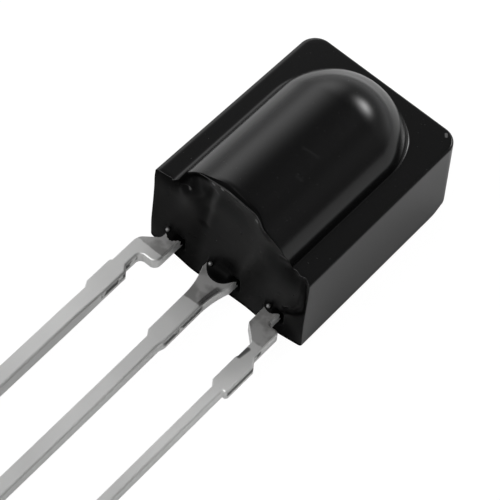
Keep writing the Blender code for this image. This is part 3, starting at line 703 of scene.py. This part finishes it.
def poured(x, z):
    """How far the poured end stands out past the lead end: the smooth sheet through the heights,
    plus a narrow bell along the ridge, less one along each groove, the crease and each gap, plus the
    resin that climbs each lead. A climb is 1 - s squared to the power 0.75 across the lead, and dies
    away within a tenth of a millimetre in front of it."""
    x, z = x / MM, z / MM
    lens, centre = LENS_RADIUS / MM, (BODY_DEPTH - LENS_SINK) / MM
    turns, rim_heights = np.array(LENS_RIM_HEIGHTS).T
    turns = np.radians(turns)
    rim = np.column_stack((lens * np.sin(turns), centre + lens * np.cos(turns)))
    face = np.array(FACE_HEIGHTS)
    knots, heights = np.vstack((rim, face[:, :2])), np.concatenate((rim_heights, face[:, 2]))
    rise = smooth_sheet(knots, heights, x, z)
    ridge, along = from_line(x, z, *LEFT_RIDGE)
    rise = rise + 0.055 * bell(ridge, 0.045) * np.clip(1.1 - 0.3 * along, 0, 1)
    rise = rise - 0.045 * bell(from_line(x, z, *LEFT_GROOVE)[0], 0.05)
    rise = rise - 0.045 * bell(from_line(x, z, *LEFT_CREASE)[0], 0.11)
    groove, along = from_line(x, z, *RIGHT_GROOVE)
    depth = 0.02 + 0.055 * np.clip((along - 0.15) / 0.3, 0, 1)
    rise = rise - depth * bell(groove, 0.06)
    front, back = (WALL_BEHIND_LEADS + SHEET) / MM, WALL_BEHIND_LEADS / MM
    for middle, half, climb in LEAD_CLIMBS:
        s = (x - middle) / half
        bowl = np.clip(1 - s ** 2, 0, 1) ** 0.75
        rise = rise + climb * bowl * np.exp(-np.clip(z - front, 0, None) / 0.09) * (z > back + 0.2)
    return (rise - 0.12 * lead_gap(x, z)) * MM


def lens_turn(x, z):
    """How far round the lens a place lies, in degrees from its crest and positive to the right."""
    return np.degrees(np.arctan2(x, z - BODY_DEPTH + LENS_SINK))


def rim_shape(x, z):
    """The arc that leads from the skin over the rim to the poured end: its radius, and the angle it
    starts at. It is small, but wide over the crest of the lens, where it starts with a sharp edge."""
    crest = bell(lens_turn(x, z) - 2, 15) * (z > BODY_DEPTH)
    low = np.clip((LOW_LIP_START - z) / LOW_LIP_FADE, 0, 1)
    return LIP_RADIUS + CREST_LIP * crest + LOW_LIP * low, CREST_LIP_START * crest


def package_columns():
    """The columns of the package's outer skin: up the right of the lens's spine, round the dome and
    down its left. For each: the spine point's y, the direction out from it, 1 on the right or -1 on
    the left, the share of the side that is climbed, the angle round the top corner and the share of
    half the top that is crossed."""
    climb = np.linspace(0, 1, SPINE_COLUMNS + 1)[:-1]
    side = np.linspace(0, 1, SIDE_COLUMNS + 1)[:-1]
    corner = np.linspace(0, math.pi / 2, CORNER_COLUMNS + 1)[:-1]
    top = np.linspace(0, 1, TOP_COLUMNS + 1)
    rise = np.concatenate((side, 0 * corner + 1, 0 * top + 1))
    turn = np.concatenate((0 * side, corner, 0 * top + math.pi / 2))
    cross = np.concatenate((0 * side, 0 * corner, top))
    aim = np.arctan2(
        rise * (BODY_TOP - FRONT_CORNER_RADIUS) + FRONT_CORNER_RADIUS * np.sin(turn),
        (half_width(BODY_TOP) - FRONT_CORNER_RADIUS) * (1 - cross) + FRONT_CORNER_RADIUS * np.cos(turn),
    )
    none, back = 0 * climb, slice(-2, None, -1)
    flip = np.concatenate((none + 1, 0 * aim + 1, 0 * aim[back] - 1, none - 1))
    angle = np.concatenate((none, aim, math.pi - aim[back], none + math.pi))
    spine = LEAD_END * np.concatenate((1 - climb, 0 * aim, 0 * aim[back], (1 - climb)[::-1]))
    rise, turn, cross = (
        np.concatenate((none, values, values[back], none)) for values in (rise, turn, cross)
    )
    return spine, np.cos(angle), np.sin(angle), flip, rise, turn, cross


def lens_fillet(aim):
    """The radius of the fillet round the lens by the direction it faces, in degrees from the right:
    small there and over the top, with a bell round 36 degrees and a smooth rise towards the left."""
    left = np.clip((aim - 125) / 40, 0, 1)
    share = 0.8 * bell(aim - 36, 12) + left * left * (3 - 2 * left)
    return LENS_FILLET + (WIDE_FILLET - LENS_FILLET) * share


def blunted(x, y, z):
    """The back's top corners cut by a plane each: where the share (gone across) + (gone up) - (come
    out) passes the plane, a point moves back along the plane's normal, softly near its border."""
    side, slope = np.sign(x), 1 / CORNER_CUT
    normal = slope * (1, 1, -1) / np.linalg.norm(slope)
    across, top = np.abs(x) - half_width(BODY_TOP), BODY_TOP + TOP_SLANT * x
    past = 1 + across * slope[0] + (y - top) * slope[1] - z * slope[2]
    pushed = CUT_SOFTNESS * np.logaddexp(0, past / np.linalg.norm(slope) / CUT_SOFTNESS)
    pushed = np.where(pushed > 0.02 * CUT_SOFTNESS, pushed, 0)
    return x - side * normal[0] * pushed, y - normal[1] * pushed, z - normal[2] * pushed


def package_skin():
    """The skin's grid of points. Its columns cross the lens's arc and fillet, the flat front, the
    rounded front edge, the side, the rounded back edge and the back, and end on the poured face."""
    spine, aim_x, aim_y, flip, climbed, turned, crossed = package_columns()
    normal_x, normal_y = flip * np.cos(turned), np.sin(turned)

    def outline(radius):
        """The box seen from the front, with this radius at its two top corners: one point for each
        column, straight out from the spine or up the side, round the corner and across the top."""
        top = BODY_TOP + TOP_SLANT * flip * half_width(BODY_TOP) * (1 - crossed)
        up = climbed * (top - radius) + radius * np.sin(turned)
        straight = spine < 0
        y = np.where(straight, spine, up)
        out = (half_width(y) - radius) * (1 - crossed) + radius * np.cos(turned)
        return flip * np.where(straight, half_width(y), out), y

    # the lens's arc and its fillet
    fillet = lens_fillet(np.degrees(np.arctan2(aim_y, aim_x)))
    foot = np.sqrt((LENS_RADIUS + fillet) ** 2 - (fillet + LENS_SINK) ** 2)
    meeting = np.arctan2(fillet + LENS_SINK, foot)
    arc = np.linspace(math.pi / 2, meeting, LENS_ROWS + 1)
    cove = np.linspace(math.pi + meeting, 1.5 * math.pi, FILLET_ROWS + 1)[1:]
    out = np.concatenate((LENS_RADIUS * np.cos(arc), foot + fillet * np.cos(cove)))
    lens_up = np.concatenate((
        BODY_DEPTH - LENS_SINK + LENS_RADIUS * np.sin(arc),
        BODY_DEPTH + fillet + fillet * np.sin(cove),
    ))
    zones = [(out * aim_x, spine + out * aim_y, lens_up)]

    # the flat front
    flat_top = BODY_DEPTH + 0 * spine
    edge = FRONT_EDGE_RADIUS + (LEFT_EDGE_REACH - FRONT_EDGE_RADIUS) * np.clip(-normal_x, 0, 1)
    front_x, front_y = outline(FRONT_CORNER_RADIUS)
    inner_x, inner_y = front_x - edge * normal_x, front_y - edge * normal_y
    share = np.linspace(0, 1, FRONT_ROWS + 1)[1:-1, None]
    foot_x, foot_y = foot * aim_x, spine + foot * aim_y
    zones.append((
        foot_x + share * (inner_x - foot_x), foot_y + share * (inner_y - foot_y), flat_top + 0 * share
    ))

    # the rounded front edge
    turn = np.linspace(0, math.pi / 2, EDGE_ROWS + 1)[:, None]
    inset = edge * (1 - np.sin(turn))
    zones.append((
        front_x - inset * normal_x, front_y - inset * normal_y,
        flat_top - FRONT_EDGE_RADIUS * (1 - np.cos(turn)),
    ))

    # the side, whose corners get tighter towards the back
    back = BACK_EDGE_RADIUS + (BACK_TOP_RADIUS - BACK_EDGE_RADIUS) * normal_y
    fall = np.linspace(0, 1, SIDE_ROWS + 1)[1:-1, None]
    wall_x, wall_y = outline(FRONT_CORNER_RADIUS + fall * (BACK_CORNER_RADIUS - FRONT_CORNER_RADIUS))
    zones.append((wall_x, wall_y, (BODY_DEPTH - FRONT_EDGE_RADIUS) * (1 - fall) + back * fall))

    # the rounded back edge
    back_x, back_y = outline(BACK_CORNER_RADIUS)
    inset = back * (1 - np.cos(turn))
    zones.append((back_x - inset * normal_x, back_y - inset * normal_y, back * (1 - np.sin(turn))))

    # the back, in to a line down its middle
    share = np.linspace(0, 1, BACK_ROWS + 1)[1:, None]
    inner_x, inner_y = back_x - back * normal_x, back_y - back * normal_y
    level = np.zeros((BACK_ROWS, spine.size))
    zones.append((inner_x * (1 - share), inner_y + share * (spine - inner_y), level))

    # the back's blunt corners, and the lead end moved to the poured face
    x, y, z = blunted(*(np.concatenate(parts) for parts in zip(*zones)))
    radius, start = rim_shape(x, z)
    y = y - spine / LEAD_END * (poured(x, z) - radius * (1 - np.sin(start)))
    return np.stack((x, y, z), axis=-1)


def package_end(ring):
    """The poured end's grid of points, from the places (x, z) of its rim: the lip, an arc in over the
    rim, and then the rim drawn in to the end face's middle, at the poured height."""
    tangent = np.roll(ring, -1, axis=0) - np.roll(ring, 1, axis=0)
    tangent /= np.linalg.norm(tangent, axis=1)[:, None]
    outward = np.column_stack((-tangent[:, 1], tangent[:, 0]))
    radius, start = (part[:, None] for part in rim_shape(ring[:, 0], ring[:, 1]))
    lip = start + (math.pi / 2 - start) * np.linspace(0, 1, LIP_ROWS + 1)[1:, None, None]
    shrunk = ring - radius * (np.cos(start) - np.cos(lip)) * outward
    step = np.linspace(1, 0, END_ROWS + 1)[1:, None, None]
    inner = END_MIDDLE + (shrunk[-1] - END_MIDDLE) * step
    flat = np.concatenate((shrunk, inner))
    short = np.concatenate((radius[:, 0] * (1 - np.sin(lip[..., 0])), np.zeros(inner.shape[:2])))
    level = LEAD_END - poured(flat[..., 0], flat[..., 1]) + short
    return np.stack((flat[..., 0], level, flat[..., 1]), axis=-1)


def package_mesh(name):
    """The whole cast package: the skin and the poured end, which share the rim. The lip's outer rings
    have the skin's finish, but over the lens inner ones do. Each point keeps the share of its gloss
    that painted shade leaves."""
    skin = package_skin()
    ring = np.concatenate((skin[:, 0], skin[-2:0:-1, -1]))[:, (0, 2)]
    end = package_end(ring)
    number = np.arange(skin.shape[0] * skin.shape[1]).reshape(skin.shape[:2])
    first, second = number[:-1], number[1:]
    skin_faces = (first[:, :-1], second[:, :-1], second[:, 1:], first[:, 1:])
    border = np.concatenate((number[:, 0], number[-2:0:-1, -1]))
    grid = number.size + np.arange(end.shape[0] * end.shape[1]).reshape(end.shape[:2])
    grid = np.vstack((border[None], grid))
    first, second = grid[:-1], grid[1:]
    end_faces = (first, second, np.roll(second, -1, axis=1), np.roll(first, -1, axis=1))
    faces = np.vstack([np.stack(sides, axis=-1).reshape(-1, 4) for sides in (skin_faces, end_faces)])
    points = np.vstack((skin.reshape(-1, 3), end.reshape(-1, 3)))
    mesh = bpy.data.meshes.new(name)
    mesh.from_pydata(points.tolist(), [], faces.tolist())
    turn = lens_turn(ring[:, 0], ring[:, 1])
    over_lens = (ring[:, 1] > BODY_DEPTH) & (turn > CREST_TURNS[0]) & (turn < CREST_TURNS[1])
    open_face = np.ones(first.shape, dtype=np.int32)
    open_face[SKIN_RINGS, ~over_lens] = 0
    open_face[CREST_RINGS, over_lens] = 0
    skin_face = np.zeros(len(faces) - open_face.size, dtype=np.int32)
    mesh.polygons.foreach_set("material_index", np.concatenate((skin_face, open_face.ravel())))
    painted_shade_gloss = gloss_left_by_painted_shade(end[..., 0], end[..., 2])
    # painted shade: a dark line on the lip over the lens
    painted_shade_gloss[SKIN_RINGS, over_lens] *= CREST_SHADED_GLOSS
    keep(mesh, "gloss_left_by_painted_shade", np.concatenate((np.ones(number.size), painted_shade_gloss.ravel())))
    shape = bmesh.new()
    shape.from_mesh(mesh)
    bmesh.ops.remove_doubles(shape, verts=shape.verts, dist=MERGE_DISTANCE)
    bmesh.ops.recalc_face_normals(shape, faces=shape.faces)
    shape.to_mesh(mesh)
    shape.free()
    mesh.shade_smooth()
    return mesh


package = placed("cast_package", package_mesh("cast_package"))

# Where it set against the cup it is glossy. It has two scratches on the lens, and a painted highlight,
# a glint painted light into its colour, in the front's top right corner, by the places (x, y) of their
# ends in mm.
LENS_SCRATCHES = (((0.41, -2.12), (0.88, -2.00)), ((0.86, -2.98), (1.04, -2.95)))
SCRATCH_WIDTH = 0.07
CORNER_GLINT = ((2.57, 2.46), (2.63, 2.39))
CORNER_GLINT_WIDTH = 0.06
resin, made = new_finish("dark_cast_resin")
place = made.place()
across, up, out = (made.axis(place, index) / MM for index in range(3))
scored = sum(scratch(across, up, *ends, SCRATCH_WIDTH) for ends in LENS_SCRATCHES)
scored = scored * (out > BODY_DEPTH / MM)
# painted highlight: a light glint in the colour of the front's top right corner
corner_glint = scratch(across, up, *CORNER_GLINT, CORNER_GLINT_WIDTH) * (out > BODY_DEPTH / 2 / MM)
ripple = made.noise(place, 700.0, 3.0)
pitting = made.noise(place, 5000.0, 4.0, 0.6)
dust = made.noise(place, 16000.0, 2.0).ramp(0.70, 0.80)
colour = made.colour(ripple, (0.0012, 0.0012, 0.0014), (0.0026, 0.0026, 0.0028))
colour = made.colour(dust * 0.15 + scored * 0.03 + corner_glint * 0.6, colour, (0.25, 0.25, 0.25))
fill(resin, {
    "Base Color": colour,
    "Roughness": 0.14 + pitting * 0.07 + dust * 0.2,
    "Specular IOR Level": 0.5,
    "Normal": made.bump(ripple * 1.5 + pitting * 0.35, 0.25, 0.004 * MM),
})


def shaded(material):
    """What a material's Principled shader gives."""
    return Finish(material.node_tree, material.node_tree.nodes["Principled BSDF"].outputs[0])


def blended(material, share, first, second):
    """Gives a material a blend of two shaders in place of its own."""
    mixed = first.node("ShaderNodeMixShader", {}, {0: share, 1: first, 2: second})
    output = material.node_tree.nodes["Material Output"]
    material.node_tree.links.new(mixed.socket, output.inputs["Surface"])


# Where it set in the open it is less glossy and mottled. A dead-black diffuse is blended in by the
# share that each point keeps, as painted shade along a line by the lens, by the right edge, along the
# back, over the leads, in the gaps and on the left of the crease. Four painted glints, light spots in
# its colour for specks that catch the light, are at places (x, z) in mm.
SPECK_GLINTS = ((-0.82, 5.08), (-0.47, 5.16), (0.92, 4.94), (-1.73, 3.93))
SPECK_GLINT_LENGTH, SPECK_GLINT_WIDTH = 0.02, 0.08
PAINTED_SHADE_BLACK = (0.0015, 0.0015, 0.0015, 1)
open_resin, made = new_finish("open_set_resin")
place = made.place()
cloud = made.noise(place, 1500.0, 4.0, 0.6)
pitting = made.noise(place, 6000.0, 4.0, 0.6)
across, out = made.axis(place, 0) / MM, made.axis(place, 2) / MM
colour = made.colour(cloud, (0.0015, 0.0015, 0.0017), (0.0055, 0.0055, 0.0055))
# painted highlights: light spots in the colour, for glints on specks
for x, z in SPECK_GLINTS:
    painted_light_spot = scratch(across, out, (x, z), (x + SPECK_GLINT_LENGTH, z), SPECK_GLINT_WIDTH)
    colour = made.colour(painted_light_spot, colour, (0.13, 0.13, 0.13))
fill(open_resin, {
    "Base Color": colour,
    "Roughness": 0.22 + pitting * 0.10 + cloud * 0.06,
    "Specular IOR Level": 0.06,
    "Normal": made.bump(cloud * 1.5 + pitting * 0.4, 0.4, 0.006 * MM),
})
# Painted shade: a dead-black diffuse that takes the place of the gloss where the points keep less of
# it.
painted_shade = made.node("ShaderNodeBsdfDiffuse", {}, {"Color": PAINTED_SHADE_BLACK, "Roughness": 0.5})
blended(open_resin, made.attribute("gloss_left_by_painted_shade"), painted_shade, shaded(open_resin))
for surface in (resin, open_resin):
    package.data.materials.append(surface)
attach(package, "root")
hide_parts("epoxy_body")

# The table under it: a plain white sheet with a painted pool of light, a glowing patch in it behind the
# module. To the camera it shows plain white, apart from a trace of the shadow under the module.
FLOOR_LEVEL = -0.012 * MM
TABLE_HALF = 1.2
SHEET_WHITE = 1.08  # the plain white that the camera sees
SHEET_SHARE = 0.9  # and its share in what it sees, the rest being the sheet with its shadow
LIT_X, LIT_Y = -12.0, 32.0  # the lit place, in mm
LIT_SPREAD = 300.0  # the square of the distance at which its light falls to 1 / e
LIT_STRENGTH = 1.9
LIT_SHARE = 0.75  # of that light in the middle of the lit place
corners = np.array(((-1, -1, 0), (1, -1, 0), (1, 1, 0), (-1, 1, 0))) * TABLE_HALF + (0, 0, FLOOR_LEVEL)
floor_mesh = bpy.data.meshes.new("white_table")
floor_mesh.from_pydata(corners.tolist(), [], [(0, 1, 2, 3)])
floor = placed("white_table", floor_mesh)
white, made = new_finish("white_sheet")
fill(white, {"Base Color": (0.8, 0.8, 0.8, 1), "Roughness": 0.9, "Specular IOR Level": 0.0})
place = made.place()
off_x, off_y = made.axis(place, 0) / MM - LIT_X, made.axis(place, 1) / MM - LIT_Y
# painted light: a glowing pool on the sheet, strongest at the lit place
painted_light_spot = (off_x * off_x + off_y * off_y) / -LIT_SPREAD
painted_light_spot = painted_light_spot.maths("EXPONENT", painted_light_spot)
lit = made.node("ShaderNodeEmission", {}, {"Strength": LIT_STRENGTH})
sheet = made.node("ShaderNodeMixShader", {}, {0: painted_light_spot * LIT_SHARE, 1: shaded(white), 2: lit})
glow = made.node("ShaderNodeEmission", {}, {"Strength": SHEET_WHITE})
to_camera = made.node("ShaderNodeLightPath", {}, {}, 0)
blended(white, to_camera * SHEET_SHARE, sheet, glow)
floor_mesh.materials.append(white)

# The room: white to the camera, dim overhead and on the right. A soft window is on the left, a broad
# light in front on the left, and behind are a wall that is light low down, haze above it and a lamp.
# Each is a product of smooth steps in the direction looked in, and the lamp a smooth bump.
WINDOW_LIGHT, WALL_LIGHT, HAZE_LIGHT, FRONT_LIGHT, LAMP_LIGHT = 1.05, 0.6, 0.17, 1.0, 10.0
LAMP_TURN, LAMP_RISE = math.radians(80), math.radians(37)
LAMP_WIDTH, LAMP_HEIGHT = 0.17, 0.085
world = bpy.data.worlds.new("room")
bpy.context.scene.world = world
world.use_nodes = True
made = Finish(world.node_tree)
away = made.node("ShaderNodeTexCoord", {}, {}, 0)
right, forward, upward = (made.axis(away, index) for index in range(3))
level = (1 - upward * upward).maths("POWER", 1 - upward * upward, 0.5)
to_right, ahead = right / level, forward / level
window = to_right.ramp(-0.30, -0.72) * ahead.ramp(-0.5, 0.1)
window = window * upward.ramp(0.88, 0.46) * upward.ramp(0.10, 0.42)
wall = ahead.ramp(0.0, 0.3) * upward.ramp(0.34, 0.06) * to_right.ramp(0.86, 0.40)
wall = wall * to_right.ramp(-0.95, -0.7, 0.6, 1.0)
haze = ahead.ramp(0.3, 0.8) * upward.ramp(0.10, 0.30) * upward.ramp(0.70, 0.45)
front = ahead.ramp(-0.15, -0.4) * to_right.ramp(0.35, 0.0)
front = front * upward.ramp(0.0, 0.2) * upward.ramp(0.92, 0.84)
aside = (right * math.sin(LAMP_TURN) - forward * math.cos(LAMP_TURN)) / LAMP_WIDTH
lift = (upward - math.sin(LAMP_RISE)) / LAMP_HEIGHT
lamp = (aside * aside + lift * lift) * -1.0
lamp = lamp.maths("EXPONENT", lamp) * (forward > 0)
room = upward.ramp(0.95, 0.75, 0.13, 0.15) + window * WINDOW_LIGHT + wall * WALL_LIGHT
room = room + haze * HAZE_LIGHT + front * FRONT_LIGHT + lamp * LAMP_LIGHT
to_camera = made.node("ShaderNodeLightPath", {}, {}, 0)
strength = to_camera + (1 - to_camera) * room
background = world.node_tree.nodes["Background"]
background.inputs["Color"].default_value = (1, 1, 1, 1)
world.node_tree.links.new(strength.socket, background.inputs["Strength"])

# The key light: a flat soft box in front of the module, on its left. Its power is its brightness
# times pi times its area.
KEY_TURN, KEY_RISE = math.radians(-110), math.radians(52)
KEY_DISTANCE = 0.7
KEY_WIDTH, KEY_HEIGHT = 0.45, 0.35
KEY_BRIGHTNESS = 2.5
level = math.cos(KEY_RISE)
away = Vector((math.cos(KEY_TURN) * level, math.sin(KEY_TURN) * level, math.sin(KEY_RISE)))
key = bpy.data.lights.new("front_key", "AREA")
key.shape = "RECTANGLE"
key.size, key.size_y = KEY_WIDTH, KEY_HEIGHT
key.energy = KEY_BRIGHTNESS * math.pi * KEY_WIDTH * KEY_HEIGHT
front_key = placed("front_key", key)
front_key.location = away * KEY_DISTANCE
front_key.rotation_euler = away.to_track_quat("Z", "Y").to_euler()

# The camera looks down at the module from the front right, close to, through a long lens. It is
# turned in degrees about x, y and z.
CAMERA_PLACE = Vector((24.356, -39.051, 65.880)) * MM
CAMERA_TURN = (33.332, -4.151, 40.795)
camera = bpy.data.cameras.new("photo_view")
camera.lens = 180.0
camera.sensor_width = 36.0
camera.clip_start = 0.001
viewer = placed("photo_view", camera)
viewer.location = CAMERA_PLACE
viewer.rotation_euler = [math.radians(angle) for angle in CAMERA_TURN]
bpy.context.scene.camera = viewer
bpy.context.scene.view_settings.view_transform = "Standard"

bpy.context.view_layer.update()
